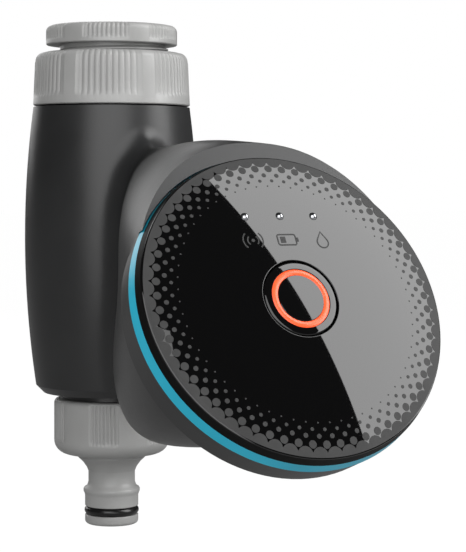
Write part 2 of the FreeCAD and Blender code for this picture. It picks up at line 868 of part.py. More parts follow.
def hose_connector():
    body = spun(falling(connector_top, [
        (connector_r - connector_edge, 0),
        (connector_r, connector_edge),
        (connector_r, connector_h - connector_edge),
        (connector_r - 0.3 * connector_cone_h, 0.55 * connector_cone_h),
        (collar_r + 0.8 * connector_cone_h, 0.35 * connector_cone_h),
        (collar_r, 0.1 * connector_cone_h),
        (collar_r, collar_h),
        (waist_r + 1, waist_slope_h / 2),
        (waist_r, waist_slope_h / 2),
        (waist_r, waist_h),
        (bead_r, bead_rise_h),
        (bead_r, bead_h),
        (nipple_r, bead_slope_h),
        (nipple_r, nipple_h),
        (nipple_r - oring_depth, 0),
        (nipple_r - oring_depth, oring_h),
        (nipple_r, 0),
        (nipple_r, tip_h - tip_edge),
        (nipple_r - tip_edge, tip_edge),
        (0, 0),
    ]))
    grip_base = connector_top - connector_h
    band = grip(
        connector_r, connector_rib_depth, connector_ribs, connector_lobe, connector_turn,
        grip_base, connector_top,
    )
    body = body.common(band.fuse(upright(connector_r, nipple_end - 1, grip_base)))
    body = body.cut(upright(outlet_thread_r + thread_fit, grip_base, connector_top + 1))
    throat = spun([
        (0, grip_base + 1), (connector_bore_r, grip_base + 1), (connector_bore_r, grip_base),
        (nipple_bore_r, waist_z), (0, waist_z),
    ])
    return body.cut([throat, upright(nipple_bore_r, nipple_end - 1, waist_z + 0.5)])


def hose_oring():
    radius = oring_h / 2 - 0.03
    centre = nipple_r - radius
    ring = Part.makeTorus(centre, radius, Vector(0, 0, oring_z), axis_z)
    return ring.cut(upright(nipple_r - oring_depth + 0.02, oring_z - oring_h, oring_z + oring_h))


def tap_washer():
    low = tap_seat_z + 0.05
    return tube(tap_seat_r - 0.1, washer_bore_r, low, low + washer_h)


def connector_washer():
    low = connector_top - connector_h
    return tube(outlet_thread_r - 0.2, connector_bore_r, low, low + connector_washer_h)


os.makedirs("parts", exist_ok=True)
save("tap_adaptor", tap_adaptor())
save("tap_washer", tap_washer())
save("inlet_nut", inlet_nut())
save("inlet_washer", tube(neck_r + clip_out - 0.1, washer_bore_r, washer_base, washer_top))
save("inlet_filter", inlet_filter())
save("nut_clip_ring", clip_ring())
save("valve_body", valve_body())
save("diaphragm", diaphragm())
save("diaphragm_hub", hub())
save("diaphragm_spring", spring(valve_spring_r, seat_y - hub_h - 0.05, bonnet_y - bonnet_cavity_h))
save("valve_bonnet", bonnet())
save("bonnet_screws", bonnet_screws())
save("solenoid_tube", core_tube())
save("solenoid_plunger", plunger())
save("plunger_spring", spring(plunger_spring_r, plunger_front, plunger_front - plunger_spring_gap))
save("fixed_core", fixed_core())
save("solenoid_coil", solenoid_coil())
save("coil_yoke", coil_yoke())
save("latch_magnet", latch_magnet())
front_shell, rear_shell = case_shells()
save("front_shell", front_shell)
save("rear_shell", rear_shell)
save("case_screws", case_screws())
save("battery_drawer", battery_drawer())
save("drawer_seal", drawer_seal())
for number, place in enumerate(cell_places(), 1):
    save(f"battery_cell_{number}", battery_cell(*place))
save("contact_springs", contact_springs())
save("contact_plate", contact_plate())
save("trim_ring", trim_ring())
save("bezel_ring", bezel_ring())
save("face_panel", face_panel())
save("face_gasket", face_gasket())
save("control_frame", control_frame())
save("frame_screws", screws(frame_screw_places(), rim_base + wall + 0.02 + frame_floor, 4.5))
save("control_board", control_board())
save("board_screws", screws(board_screw_places(), board_top, 3.0))
save("light_chips", light_chips())
for number, place in enumerate(lens_places(), 1):
    save(f"status_lens_{number}", status_lens(place))
save("radio_module", radio_module())
save("tact_switch", tact_switch())
save("switch_plunger", switch_plunger())
save("button_cap", button_cap())
save("button_ring", button_ring())
save("button_spring", button_spring())
save("hose_connector", hose_connector())
save("connector_washer", connector_washer())
save("hose_oring", hose_oring())
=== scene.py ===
import bmesh
import bpy
import json
import math
from mathutils import Matrix, Vector


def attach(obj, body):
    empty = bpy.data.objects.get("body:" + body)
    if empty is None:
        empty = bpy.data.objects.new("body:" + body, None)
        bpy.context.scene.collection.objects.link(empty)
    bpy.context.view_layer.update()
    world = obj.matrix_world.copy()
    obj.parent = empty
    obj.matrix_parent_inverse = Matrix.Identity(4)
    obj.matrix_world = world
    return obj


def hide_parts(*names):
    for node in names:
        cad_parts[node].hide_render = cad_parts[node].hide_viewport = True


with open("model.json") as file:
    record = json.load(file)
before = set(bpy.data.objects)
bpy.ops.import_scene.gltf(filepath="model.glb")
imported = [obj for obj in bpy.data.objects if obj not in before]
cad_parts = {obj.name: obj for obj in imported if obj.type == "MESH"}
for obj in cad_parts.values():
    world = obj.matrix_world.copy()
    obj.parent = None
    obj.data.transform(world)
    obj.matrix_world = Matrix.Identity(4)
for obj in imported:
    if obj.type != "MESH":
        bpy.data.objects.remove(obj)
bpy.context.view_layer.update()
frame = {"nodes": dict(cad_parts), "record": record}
nodes = frame["nodes"]
mm = 0.001


# Shader fields: arithmetic on a field adds Math nodes

class Field:
    def __init__(self, finish, socket):
        self.finish = finish
        self.socket = socket

    def maths(self, operation, *values):
        return self.finish.maths(operation, *values)

    def __add__(self, other):
        return self.maths("ADD", self, other)

    def __radd__(self, other):
        return self.maths("ADD", other, self)

    def __sub__(self, other):
        return self.maths("SUBTRACT", self, other)

    def __mul__(self, other):
        return self.maths("MULTIPLY", self, other)

    def __truediv__(self, other):
        return self.maths("DIVIDE", self, other)

    def __lt__(self, other):
        return self.maths("LESS_THAN", self, other)

    def __gt__(self, other):
        return self.maths("GREATER_THAN", self, other)

    def distance(self):
        return self.maths("ABSOLUTE", self)


class Finish:
    def __init__(self, name, kind="materials"):
        self.block = getattr(bpy.data, kind).new(name)
        self.block.use_nodes = True
        self.tree = self.block.node_tree
        self.tree.nodes.clear()
        self.place = self.node("ShaderNodeTexCoord", output="Object")

    def node(self, kind, settings=None, inputs=None, output=0):
        made = self.tree.nodes.new(kind)
        for key, value in (settings or {}).items():
            if key == "stops":
                self.setStops(made.color_ramp, value)
            else:
                setattr(made, key, value)
        for key, value in (inputs or {}).items():
            self.plug(made.inputs[key], value)
        return Field(self, made.outputs[output])

    def maths(self, operation, *values):
        return self.node("ShaderNodeMath", {"operation": operation}, dict(enumerate(values)))

    def setStops(self, ramp, stops):
        while len(ramp.elements) < len(stops):
            ramp.elements.new(0.5)
        for element, (position, colour) in zip(ramp.elements, stops):
            element.position = position
            element.color = (*colour, 1)

    def plug(self, socket, value):
        if isinstance(value, Field):
            self.tree.links.new(value.socket, socket)
        elif socket.type == "RGBA":
            socket.default_value = (*value, 1)
        else:
            socket.default_value = value

    def noise(self, scale, detail=3, roughness=0.5, place=None):
        sockets = {"Vector": place or self.place, "Scale": scale, "Detail": detail, "Roughness": roughness}
        return self.node("ShaderNodeTexNoise", {}, sockets, "Fac")

    def stretched(self, scale):
        return self.node("ShaderNodeMapping", {}, {"Vector": self.place, "Scale": scale})

    def axis(self, letter):
        return self.node("ShaderNodeSeparateXYZ", {}, {0: self.place}, letter)

    def ramp(self, field, stops):
        return self.node("ShaderNodeValToRGB", {"stops": stops}, {"Fac": field}, "Color")

    def tint(self, field, look, low=0.3, high=0.7):
        # from the look's dark colour to its light one
        return self.ramp(field, [(low, look["dark"]), (high, look["light"])])

    def shine(self, field, look):
        return look["roughness"] + (field - 0.5) * look["roughnessSpread"]

    def blend(self, factor, first, second):
        made = self.tree.nodes.new("ShaderNodeMix")
        made.data_type = "RGBA"
        self.plug(made.inputs[0], factor)
        self.plug(made.inputs[6], first)
        self.plug(made.inputs[7], second)
        return Field(self, made.outputs[2])

    def bump(self, height, depth):
        return self.node("ShaderNodeBump", {}, {"Distance": depth, "Height": height})

    def closed(self, shader, kind="ShaderNodeOutputMaterial"):
        end = self.tree.nodes.new(kind)
        self.plug(end.inputs["Surface"], shader)
        return self.block

    def surface(self, **sockets):
        inputs = {key.replace("_", " "): value for key, value in sockets.items()}
        return self.closed(self.node("ShaderNodeBsdfPrincipled", {}, inputs))


def mouldedPlastic(name, look):
    finish = Finish(name)
    cloud = finish.noise(look["cloudScale"], 2)
    grain = finish.noise(look["grainScale"], 2, 0.6)
    return finish.surface(
        Base_Color=finish.tint(cloud, look, 0.35, 0.65),
        Roughness=finish.shine(cloud, look),
        Specular_IOR_Level=look.get("specular", 0.5),
        Normal=finish.bump(grain, look["grainDepth"]),
    )


def caseFinish(name, look):
    # moulded plastic with the line where the two shells meet
    finish = Finish(name)
    cloud = finish.noise(look["cloudScale"])
    grain = finish.noise(look["grainScale"], 2, 0.6)
    seam = (finish.axis("Y") - look["seamY"]).distance() < look["seamWidth"] / 2
    return finish.surface(
        Base_Color=finish.blend(seam, finish.tint(cloud, look), look["seamColour"]),
        Roughness=finish.shine(cloud, look),
        Specular_IOR_Level=look["specular"],
        Normal=finish.bump(grain - seam * look["seamDepth"] / look["grainDepth"], look["grainDepth"]),
    )


def polishedBlack(name, look):
    finish = Finish(name)
    smear = finish.noise(look["smearScale"], 3, 0.55)
    dust = finish.noise(look["dustScale"], 1)
    low, high = look["dustLevels"]
    specks = finish.ramp(dust, [(low, (0, 0, 0)), (high, (1, 1, 1))])
    return finish.surface(
        Base_Color=finish.blend(specks, look["base"], look["speck"]),
        Roughness=look["roughness"] + smear * look["smear"],
        Specular_IOR_Level=look["specular"],
        Coat_Weight=look["coat"],
        Coat_Roughness=look["coatRoughness"],
    )


def metalFinish(name, look):
    finish = Finish(name)
    brushed = finish.noise(look["grainScale"], 3, 0.6, finish.stretched(look["stretch"]))
    cloud = finish.noise(look["cloudScale"], 2)
    return finish.surface(
        Base_Color=finish.tint(cloud, look),
        Metallic=1.0,
        Roughness=finish.shine(brushed, look),
        Normal=finish.bump(brushed, look["grainDepth"]),
    )


def windingFinish(name, look):
    finish = Finish(name)
    settings = {"wave_type": "BANDS", "bands_direction": "Y"}
    sockets = {"Vector": finish.place, "Scale": look["scale"], "Distortion": look["distortion"]}
    turns = finish.node("ShaderNodeTexWave", settings, sockets, "Fac")
    return finish.surface(
        Base_Color=finish.tint(turns, look, 0.1, 0.6),
        Metallic=look["metallic"],
        Roughness=look["roughness"] + turns * look["roughnessSpread"],
        Normal=finish.bump(turns, look["depth"]),
    )


def boardFinish(name, look):
    finish = Finish(name)
    sockets = {
        "Vector": finish.place, "Scale": look["scale"], "Mortar Size": look["gap"],
        "Brick Width": look["width"],
    }
    tracks = finish.node("ShaderNodeTexBrick", {"offset": 0.5}, sockets, "Fac")
    mottle = finish.noise(look["mottleScale"], 2)
    return finish.surface(
        Base_Color=finish.blend(tracks, finish.tint(mottle, look), look["track"]),
        Roughness=look["roughness"] + mottle * look["roughnessSpread"],
        Normal=finish.bump(tracks, look["depth"]),
    )


def cellFinish(name, look):
    # a dark sleeve with a bare metal end
    finish = Finish(name)
    end = finish.axis("Z") > look["endZ"]
    wrap = finish.noise(look["wrapScale"], 2)
    return finish.surface(
        Base_Color=finish.blend(end, finish.tint(wrap, look), look["endColour"]),
        Metallic=look["metallic"] + end * look["endMetallic"],
        Roughness=look["roughness"] + wrap * look["roughnessSpread"],
        Coat_Weight=look["coat"],
    )


def paintedGlowFinish(name, look):
    finish = Finish(name)
    cloud = finish.noise(look["cloudScale"], 2)
    colour = finish.tint(cloud, look)
    return finish.surface(
        Base_Color=colour,
        Roughness=look["roughness"] + cloud * look["roughnessSpread"],
        # painted glow: the part emits its own colour though it is no lamp
        Emission_Color=colour,
        Emission_Strength=look["glow"],
    )


finishes = {
    "fitting_grey": mouldedPlastic("fittingGrey", {
        "dark": (0.31, 0.31, 0.305), "light": (0.35, 0.35, 0.345), "cloudScale": 60, "grainScale": 1800,
        "grainDepth": 0.00003, "roughness": 0.36, "roughnessSpread": 0.1,
    }),
    "case_grey": caseFinish("caseGrey", {
        "dark": (0.019, 0.0193, 0.0197), "light": (0.023, 0.0233, 0.0238), "cloudScale": 55,
        "grainScale": 2400, "grainDepth": 0.00002, "roughness": 0.36, "roughnessSpread": 0.08,
        "specular": 0.5, "seamY": 4.0 * mm, "seamWidth": 0.35 * mm, "seamDepth": 0.0002,
        "seamColour": (0.012, 0.012, 0.012),
    }),
    "valve_black": mouldedPlastic("valveBlack", {
        "dark": (0.010, 0.010, 0.010), "light": (0.016, 0.016, 0.016), "cloudScale": 90,
        "grainScale": 2000, "grainDepth": 0.00002, "roughness": 0.3, "roughnessSpread": 0.1,
    }),
    "face_black": polishedBlack("faceBlack", {
        "base": (0.0014, 0.0014, 0.0015), "speck": (0.003, 0.003, 0.003), "dustScale": 2600,
        "dustLevels": (0.74, 0.8), "smearScale": 30, "smear": 0.012, "roughness": 0.012,
        "specular": 0.58, "coat": 0.1, "coatRoughness": 0.02,
    }),
    "trim_turquoise": mouldedPlastic("trimTurquoise", {
        "dark": (0.018, 0.48, 0.68), "light": (0.022, 0.53, 0.75), "cloudScale": 80, "grainScale": 1500,
        "grainDepth": 0.00002, "roughness": 0.3, "roughnessSpread": 0.08,
    }),
    # the orange ring gets a painted glow from its emission, though it is no lamp
    "ring_orange": paintedGlowFinish("ringOrange", {
        "dark": (0.92, 0.085, 0.02), "light": (1.0, 0.11, 0.03), "cloudScale": 220, "roughness": 0.25,
        "roughnessSpread": 0.05, "glow": 0.25,
    }),
    "seal_rubber": mouldedPlastic("sealRubber", {
        "dark": (0.005, 0.005, 0.005), "light": (0.008, 0.008, 0.008), "cloudScale": 120,
        "grainScale": 2600, "grainDepth": 0.00002, "roughness": 0.25, "roughnessSpread": 0.12,
    }),
    "lens_chrome": metalFinish("lensChrome", {
        "dark": (0.42, 0.43, 0.45), "light": (0.50, 0.51, 0.53), "cloudScale": 120, "grainScale": 300,
        "stretch": (1, 1, 1), "grainDepth": 0.000001, "roughness": 0.05, "roughnessSpread": 0.03,
    }),
    "steel": metalFinish("steelPlain", {
        "dark": (0.50, 0.50, 0.51), "light": (0.58, 0.58, 0.59), "cloudScale": 120, "grainScale": 500,
        "stretch": (1, 1, 12), "grainDepth": 0.000008, "roughness": 0.3, "roughnessSpread": 0.15,
    }),
    "copper": windingFinish("copperWinding", {
        "dark": (0.25, 0.07, 0.03), "light": (0.72, 0.30, 0.14), "scale": 900, "distortion": 0.4,
        "depth": 0.00015, "metallic": 0.8, "roughness": 0.35, "roughnessSpread": 0.1,
    }),
    "board_green": boardFinish("boardGreen", {
        "dark": (0.01, 0.09, 0.04), "light": (0.015, 0.12, 0.055), "track": (0.03, 0.2, 0.09),
        "scale": 260, "gap": 0.03, "width": 0.9, "depth": 0.00005, "mottleScale": 300,
        "roughness": 0.4, "roughnessSpread": 0.1,
    }),
    "cell_skin": cellFinish("cellSkin", {
        "dark": (0.02, 0.02, 0.024), "light": (0.03, 0.03, 0.036), "wrapScale": 400, "endZ": -66 * mm,
        "endColour": (0.5, 0.34, 0.16), "metallic": 0.3, "endMetallic": 0.6, "roughness": 0.3,
        "roughnessSpread": 0.1, "coat": 0.3,
    }),
    "nylon_white": mouldedPlastic("nylonWhite", {
        "dark": (0.68, 0.68, 0.65), "light": (0.74, 0.74, 0.71), "cloudScale": 100, "grainScale": 1500,
        "grainDepth": 0.00002, "roughness": 0.4, "roughnessSpread": 0.1,
    }),
}
bezelBlack = mouldedPlastic("bezelBlack", {
    "dark": (0.003, 0.003, 0.003), "light": (0.005, 0.005, 0.005), "cloudScale": 80, "grainScale": 2000,
    "grainDepth": 0.00001, "roughness": 0.5, "roughnessSpread": 0.1, "specular": 0.12,
})
printGrey = mouldedPlastic("printGrey", {
    "dark": (0.029, 0.029, 0.029), "light": (0.037, 0.037, 0.037), "cloudScale": 150, "grainScale": 3500,
    "grainDepth": 0.00002, "roughness": 0.55, "roughnessSpread": 0.1, "specular": 0.3,
})

slotOf = {row["node"]: row["material_slot"] for row in frame["record"]["subparts"]}
bodyOf = {}
for bodyName, members in frame["record"]["behaviour"]["bodies"].items():
    for member in members:
        bodyOf[member] = bodyName
for nodeName, node in nodes.items():
    node.data.materials.clear()
    node.data.materials.append(finishes[slotOf[nodeName]])
print("finishes on", len(nodes), "nodes")


# Mesh helpers

def asPiece(name, bm, body, slot, sharp, replaced=(), finish=None):
    for edge in bm.edges:
        if len(edge.link_faces) == 2:
            edge.smooth = edge.calc_face_angle() < math.radians(sharp)
    for face in bm.faces:
        face.smooth = True
    mesh = bpy.data.meshes.new(name)
    bm.to_mesh(mesh)
    bm.free()
    mesh.materials.append(finish or finishes[slot])
    piece = bpy.data.objects.new(name, mesh)
    bpy.context.scene.collection.objects.link(piece)
    if replaced:
        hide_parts(*replaced)
    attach(piece, body)


def spunProfile(points, steps):
    # turns a closed outline of (radius, height) points, in mm, about the Z axis
    bm = bmesh.new()
    corners = [bm.verts.new((radius * mm, 0, height * mm)) for radius, height in points]
    sides = [bm.edges.new(pair) for pair in zip(corners, corners[1:] + corners[:1])]
    bmesh.ops.spin(
        bm, geom=corners + sides, cent=(0, 0, 0), axis=(0, 0, 1), angle=2 * math.pi, steps=steps,
        use_merge=True,
    )
    bmesh.ops.remove_doubles(bm, verts=bm.verts, dist=0.001 * mm)
    bmesh.ops.recalc_face_normals(bm, faces=bm.faces)
    return bm


def helix(profile, startZ, thread):
    # a closed ridge that climbs the Z axis and sinks to its root radius at both ends
    bm = bmesh.new()
    corners = [bm.verts.new((radius * mm, 0, (startZ + height) * mm)) for radius, height in profile]
    bmesh.ops.spin(
        bm, geom=[bm.faces.new(corners)], cent=(0, 0, 0), axis=(0, 0, 1),
        dvec=(0, 0, thread["pitch"] * mm / thread["steps"]), angle=2 * math.pi * thread["turns"],
        steps=int(thread["turns"] * thread["steps"]),
    )
    root = profile[0][0] * mm
    rise = thread["pitch"] * thread["turns"] * mm
    for vert in bm.verts:
        radius = math.hypot(vert.co.x, vert.co.y)
        along = (vert.co.z - startZ * mm) / rise
        height = min(1, max(0, along / thread["fade"]), max(0, (1 - along) / thread["fade"]))
        wanted = root + (radius - root) * height
        vert.co.x *= wanted / radius
        vert.co.y *= wanted / radius
    bmesh.ops.recalc_face_normals(bm, faces=bm.faces)
    return bm


def arcPoints(centre, radius, start, end, count):
    # points of an arc in the profile plane, from one angle to another in degrees
    points = []
    for i in range(count + 1):
        angle = math.radians(start + (end - start) * i / count)
        points.append((centre[0] + radius * math.cos(angle), centre[1] + radius * math.sin(angle)))
    return points


def padDepth(degrees, grip):
    # how far a grip lies under its plain lobes at one angle
    step = 360 / grip["count"]
    local = (degrees - grip["turn"] + step / 2) % step - step / 2
    inside = grip["pad"] / 2 - abs(local)
    if inside <= 0:
        return 0
    share = min(1, inside / grip["blend"])
    wave = abs(math.sin(math.pi * grip["ribs"] * (local / grip["pad"] + 0.5)))
    return share * (grip["sink"] + grip["depth"] * (1 - wave ** grip["fullness"]))


def ribbed(bm, grip):
    # presses the pads of a grip into the wall between two heights
    for vert in bm.verts:
        radius = math.hypot(vert.co.x, vert.co.y) / mm
        height = vert.co.z / mm
        if radius < grip["inner"] or height < grip["low"] or height > grip["high"]:
            continue
        near = min(1, (height - grip["low"]) / grip["fade"])
        depth = padDepth(math.degrees(math.atan2(vert.co.y, vert.co.x)), grip) * max(0, near)
        vert.co.x *= 1 - depth / radius
        vert.co.y *= 1 - depth / radius
    return bm


def dressed(nodeName, pieceName, sharp, finish=None):
    # a smooth copy of a node that stands in its place
    bm = bmesh.new()
    bm.from_mesh(nodes[nodeName].data)
    bmesh.ops.remove_doubles(bm, verts=bm.verts, dist=0.002 * mm)
    bmesh.ops.dissolve_degenerate(bm, edges=bm.edges, dist=0.001 * mm)
    asPiece(pieceName, bm, bodyOf[nodeName], slotOf[nodeName], sharp, [nodeName], finish)


# Tap adaptor with its two threads

adaptor = {
    "radius": 19.2, "base": -5.7, "baseEdge": 0.25, "wall": (-4.6, -4.3, -4.0, -3.2), "edge": 1.9,
    "mouth": 13.22, "mouthEdge": 0.7, "tapDepth": -8.0, "seatRadius": 13.82, "seatZ": -10.5, "bore": 9.5,
    "foot": -14.87, "footEdge": 0.6, "neck": 15.15, "steps": 720,
}
adaptorGrip = {
    "count": 6, "turn": 1.7, "pad": 41, "ribs": 10, "blend": 1.6, "sink": 0.25, "depth": 0.42,
    "fullness": 0.8, "inner": 16.9, "low": -4.6, "high": 0.1, "fade": 0.6,
}
neckThread = {
    "root": 15.05, "crest": 16.62, "above": 1.2, "pitch": 2.309, "turns": 3.15, "steps": 96,
    "rootShare": 0.42, "crestHalf": 0.16, "fade": 0.03,
}
tapThread = {
    "root": 13.32, "crest": 12.1, "above": 1.0, "pitch": 1.814, "turns": 3.2, "steps": 72,
    "rootShare": 0.4, "crestHalf": 0.12, "fade": 0.05,
}


def makeAdaptor(a):
    outline = [(a["radius"] - a["baseEdge"], a["base"]), (a["radius"], a["base"] + a["baseEdge"])]
    outline += [(a["radius"], height) for height in a["wall"]]
    outline += arcPoints((a["radius"] - a["edge"], -a["edge"]), a["edge"], 0, 90, 8)
    outline += [
        (a["mouth"] + a["mouthEdge"], 0), (a["mouth"], -a["mouthEdge"]), (a["mouth"], a["tapDepth"]),
        (a["seatRadius"], a["tapDepth"]), (a["seatRadius"], a["seatZ"]), (a["bore"], a["seatZ"]),
        (a["bore"], a["foot"]), (a["neck"] - a["footEdge"], a["foot"]),
        (a["neck"], a["foot"] + a["footEdge"]), (a["neck"], a["base"]),
    ]
    bm = ribbed(spunProfile(outline, a["steps"]), adaptorGrip)
    asPiece("adaptor_body", bm, "adaptor", "fitting_grey", 40, ["tap_adaptor"])


def makeThread(name, startZ, t):
    half = t["pitch"] * t["rootShare"]
    profile = [
        (t["root"], -half), (t["crest"], -t["crestHalf"]), (t["crest"], t["crestHalf"]), (t["root"], half),
    ]
    asPiece(name, helix(profile, startZ + t["above"], t), "adaptor", "fitting_grey", 25)


makeAdaptor(adaptor)
makeThread("adaptor_thread", adaptor["foot"], neckThread)
makeThread("tap_thread", adaptor["tapDepth"], tapThread)
print("tap adaptor done")


# Union nut

nut = {
    "topZ": -7.9, "topRadius": 22.3, "edge": 2.6, "wall": (-21.2, -20.8, -20.3, -19.6, -17, -14, -11),
    "baseZ": -23.4, "baseRadius": 23.0, "baseEdge": 0.3, "bore": 16.9, "boreEdge": 0.8, "floorZ": -20.4,
    "neckBore": 15.35, "steps": 900,
}
nutGrip = {
    "count": 6, "turn": 4.9, "pad": 50, "ribs": 11, "blend": 2.2, "sink": 0.35, "depth": 0.4,
    "fullness": 0.7, "inner": 19.0, "low": -21.2, "high": -7.5, "fade": 1.3,
}


def makeNut(n):
    slope = (n["baseRadius"] - n["topRadius"]) / (n["topZ"] - n["baseZ"])
    outline = [(n["baseRadius"] - n["baseEdge"], n["baseZ"]), (n["baseRadius"], n["baseZ"] + n["baseEdge"])]
    outline += [(n["baseRadius"] - (height - n["baseZ"]) * slope, height) for height in n["wall"]]
    outline += arcPoints((n["topRadius"] - n["edge"], n["topZ"] - n["edge"]), n["edge"], 0, 90, 8)
    outline += [
        (n["bore"] + n["boreEdge"], n["topZ"]), (n["bore"], n["topZ"] - n["boreEdge"]),
        (n["bore"], n["floorZ"]), (n["neckBore"], n["floorZ"]), (n["neckBore"], n["baseZ"]),
    ]
    bm = ribbed(spunProfile(outline, n["steps"]), nutGrip)
    asPiece("nut_body", bm, "union_nut", "fitting_grey", 40, ["inlet_nut"])


makeNut(nut)
print("union nut done")


# Hose connector and its O-ring

connector = {
    "radius": 17.0, "topZ": -109.4, "edge": 1.4, "wall": (-112.5, -117, -120, -120.8, -121.2),
    "shoulder": 4.0, "shoulderZ": -121.8, "collarRadius": 10.0, "collarTop": -125.8, "collarEdge": 0.5,
    "collarFoot": -127.3, "flare": [(10.0, -127.0), (9.5, -127.5), (8.6, -128.3), (7.4, -130.0)],
    "waist": [(7.0, -131.0), (6.9, -131.2), (6.9, -134.4), (7.3, -135.6)],
    "bead": [(8.1, -136.1), (8.35, -136.5), (8.35, -137.2), (8.1, -137.7), (7.9, -138.4)],
    "nippleRadius": 7.9, "grooveRadius": 6.4, "grooveTop": -141.6, "grooveFoot": -144.1,
    "grooveEdge": 0.2, "footZ": -146.9, "footEdge": 1.1, "bore": 5.2, "boreEdge": 0.4, "funnel": 8.0,
    "innerRadius": 13.3, "floorZ": -121.8, "steps": 720,
}
connectorGrip = {
    "count": 6, "turn": -1.0, "pad": 30, "ribs": 8, "blend": 1.5, "sink": 0.2, "depth": 0.45,
    "fullness": 0.8, "inner": 15.2, "low": -121.8, "high": -110.2, "fade": 0.8,
}
nippleRing = {"inset": 1.0, "section": 1.18, "sides": 16, "steps": 96}


def makeConnector(c):
    outline = [(c["innerRadius"], c["topZ"]), (c["radius"] - c["edge"], c["topZ"])]
    outline += arcPoints((c["radius"] - c["edge"], c["topZ"] - c["edge"]), c["edge"], 90, 0, 5)[1:]
    outline += [(c["radius"], height) for height in c["wall"]]
    outline += arcPoints((c["radius"] - c["shoulder"], c["shoulderZ"]), c["shoulder"], 0, -85, 8)
    collar = (c["collarRadius"] + c["collarEdge"], c["collarTop"] - c["collarEdge"])
    outline += arcPoints(collar, c["collarEdge"], 90, 180, 3)
    outline += c["flare"] + c["waist"] + c["bead"]
    outline += [
        (c["nippleRadius"], c["grooveTop"] + c["grooveEdge"]),
        (c["nippleRadius"] - c["grooveEdge"], c["grooveTop"]),
        (c["grooveRadius"], c["grooveTop"]), (c["grooveRadius"], c["grooveFoot"]),
        (c["nippleRadius"] - c["grooveEdge"], c["grooveFoot"]),
        (c["nippleRadius"], c["grooveFoot"] - c["grooveEdge"]),
    ]
    foot = (c["nippleRadius"] - c["footEdge"], c["footZ"] + c["footEdge"])
    outline += arcPoints(foot, c["footEdge"], 0, -90, 5)
    outline += [
        (c["bore"] + c["boreEdge"], c["footZ"]), (c["bore"], c["footZ"] + c["boreEdge"]),
        (c["bore"], c["collarFoot"]), (c["funnel"], c["floorZ"]), (c["innerRadius"], c["floorZ"]),
    ]
    bm = ribbed(spunProfile(outline, c["steps"]), connectorGrip)
    asPiece("connector_body", bm, "connector", "fitting_grey", 40, ["hose_connector"])


def makeNippleRing(ring, c):
    centre = (c["nippleRadius"] - ring["inset"], (c["grooveTop"] + c["grooveFoot"]) / 2)
    outline = arcPoints(centre, ring["section"], 0, 360 - 360 / ring["sides"], ring["sides"] - 1)
    bm = spunProfile(outline, ring["steps"])
    asPiece("nipple_oring", bm, "connector", "seal_rubber", 60, ["hose_oring"])


makeConnector(connector)
makeNippleRing(nippleRing, connector)
print("hose connector done")


# Case, ring trims and other pieces whose form comes from the frame

dressed("front_shell", "case_front", 25)
dressed("rear_shell", "case_rear", 25)
dressed("trim_ring", "face_trim", 30)
dressed("bezel_ring", "face_bezel", 30, bezelBlack)
dressed("battery_drawer", "drawer_tray", 30)
dressed("valve_body", "valve_casting", 30)
print("case dressed")


# Face, printed dots and signs, in the face's own tilted frame

face = {
    "reach": 114.1, "drop": 74.55, "tilt": 27.7, "radius": 40.1, "edge": 0.35, "edgeInset": 0.1,
    "edgeDrop": 0.12, "crown": 2.85, "ballRadius": 241.676, "holeRadius": 10.05, "holeDepth": 1.9,
    "lip": [(0, 10, 0.25), (0.03, 10, 0.08), (0.1, 10.1, 0.02)], "nearHole": (0.16, 0.22, 0.3),
    "plain": 0.25, "rings": 18, "foot": -1.0, "rimWall": 3, "steps": 256,
}
halftone = {
    "count": 62, "phase": 181.39, "proud": 0.05, "bury": 0.05,
    "rings": [(36.63, 0, 2.1, 20), (34.63, 0.5, 1.3, 16), (32.98, 0, 1.0, 14), (31.4, 0.5, 0.5, 10)],
    "lobeRing": 39.25, "lobeRadius": 2.1, "bandRadius": 39.75, "bandSteps": 9,
}
faceTurn = Matrix.Rotation(math.radians(90 - face["tilt"]), 4, "X")
facePlace = Matrix.Translation(Vector((0, -face["reach"], -face["drop"])) * mm) @ faceTurn


def crownAt(radius):
    # height of the domed face at a radius, in mm
    return face["crown"] - face["ballRadius"] + math.sqrt(face["ballRadius"] ** 2 - radius ** 2)


def onFace(bm):
    bmesh.ops.transform(bm, matrix=facePlace, verts=bm.verts)
    return bm


def makeFace(f):
    # a lip point lies a step outside the hole and a little under the dome's height at a radius
    rim = f["radius"]
    hole = f["holeRadius"]
    top = crownAt(rim - f["edge"])
    outline = [(hole, crownAt(hole) - f["holeDepth"])]
    outline += [(hole + step, crownAt(radius) - under) for step, radius, under in f["lip"]]
    outline += [(hole + step, crownAt(hole + step)) for step in f["nearHole"]]
    span = rim - f["edge"] - hole - f["plain"]
    for i in range(1, f["rings"] + 1):
        radius = hole + f["plain"] + span * i / f["rings"]
        outline.append((radius, crownAt(radius)))
    outline += [
        (rim - f["edgeInset"], top - f["edgeDrop"]), (rim, top - f["edge"]), (rim, f["foot"]),
        (rim - f["rimWall"], f["foot"]),
    ]
    bm = onFace(spunProfile(outline, f["steps"]))
    asPiece("face_dome", bm, "timer_case", "face_black", 40, ["face_panel"])


def leanAt(u, v):
    out = Vector((u, v, face["ballRadius"])).normalized()
    up = out.cross(Vector((1, 0, 0))).normalized()
    return Matrix([up.cross(out), up, out]).transposed().to_4x4()


def discOn(bm, u, v, radius, sides, inlay):
    # a thin round inlay that follows the dome
    proud = inlay["proud"]
    bury = inlay["bury"]
    level = crownAt(math.hypot(u, v)) * mm
    made = bmesh.ops.create_cone(
        bm, cap_ends=True, segments=sides, radius1=radius * mm, radius2=(radius - proud) * mm,
        depth=(proud + bury) * mm,
    )
    place = Matrix.Translation((u * mm, v * mm, level + (proud - bury) / 2 * mm))
    bmesh.ops.transform(bm, matrix=place @ leanAt(u, v), verts=made["verts"])


